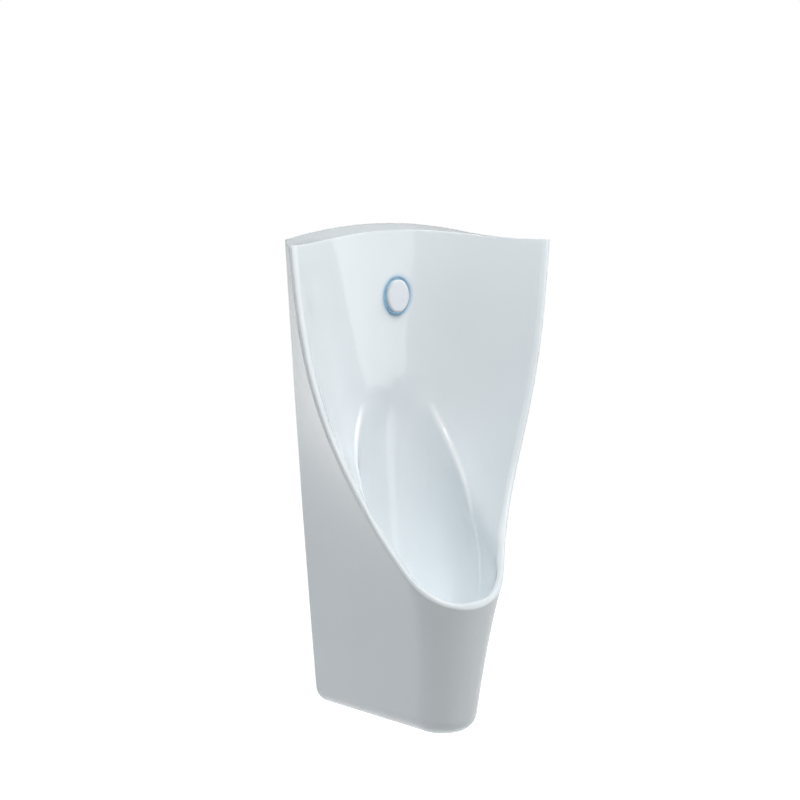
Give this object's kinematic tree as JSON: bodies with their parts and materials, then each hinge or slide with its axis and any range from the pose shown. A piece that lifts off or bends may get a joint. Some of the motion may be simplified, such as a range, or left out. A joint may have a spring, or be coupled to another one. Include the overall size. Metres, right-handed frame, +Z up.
{
  "type": "wall-hung urinal",
  "caption": "Wall-hung vitreous china urinal with a scooped back panel, tapered bowl, lit oval flush button, flush valve and bottle trap behind it.",
  "frame": {"origin": "middle of the hanger screw pattern, on the wall plane", "axes": "+Z up, the bowl faces -Y, +Y into the wall, +X to the right seen from the front"},
  "size_m": [0.4048, 0.384, 0.7309],
  "materials": {
    "china": "glossy white glaze",
    "cap_plastic": "gloss white",
    "housing_plastic": "gloss",
    "light_plastic": "clear, lit blue from behind",
    "board": "solder mask",
    "gasket_rubber": "matt",
    "stainless": "brushed",
    "spring_steel": "drawn wire",
    "brass_body": "machined",
    "pipe_plastic": "satin",
    "coil_plastic": "moulded",
    "box_plastic": "moulded",
    "waste_chrome": "polished",
    "trap_plastic": "gloss"
  },
  "bodies": {
    "urinal": {"china_body": "china", "button_housing": "housing_plastic", "housing_gasket": "gasket_rubber", "light_board": "board", "light_ring": "light_plastic", "button_spring": "spring_steel", "housing_washer": "gasket_rubber", "carrier_plate": "stainless", "housing_nut": "brass_body", "water_tee": "brass_body", "flush_pipe": "pipe_plastic", "valve_body": "brass_body", "valve_coil": "coil_plastic", "plunger_spring": "spring_steel", "valve_saddle": "pipe_plastic", "inlet_elbow": "brass_body", "control_box": "box_plastic", "box_screws": "stainless", "waste_body": "waste_chrome", "waste_gasket": "gasket_rubber", "strainer": "stainless", "strainer_screw": "stainless", "waste_washer": "gasket_rubber", "waste_nut": "trap_plastic", "trap_body": "trap_plastic", "trap_cup": "trap_plastic", "outlet_pipe": "trap_plastic", "outlet_seal": "gasket_rubber", "hanger_left": "stainless", "hanger_right": "stainless", "hanger_pads": "gasket_rubber"},
    "button": {"flush_button": "cap_plastic", "button_stem": "stainless", "stem_clip": "spring_steel"},
    "plunger": {"valve_plunger": "stainless", "plunger_seal": "gasket_rubber"},
    "spindle": {"stop_spindle": "brass_body"}
  },
  "joints": [
    {"name": "button_press", "type": "slide", "parent": "urinal", "child": "button", "axis": [0, 1, 0], "range_m": [0, 0.004], "stiffness_N_per_m": 800, "springref_m": -0.003, "deforming": ["button_spring"]},
    {"name": "valve_lift", "type": "slide", "parent": "urinal", "child": "plunger", "axis": [1, 0, 0], "range_m": [0, 0.0025], "stiffness_N_per_m": 600, "springref_m": -0.004, "deforming": ["plunger_spring"]},
    {"name": "stop_turn", "type": "hinge", "parent": "urinal", "child": "spindle", "pos_m": [-0.038, -0.011, -0.085], "axis": [0, 0, 1], "range_deg": [0, 90]}
  ]
}
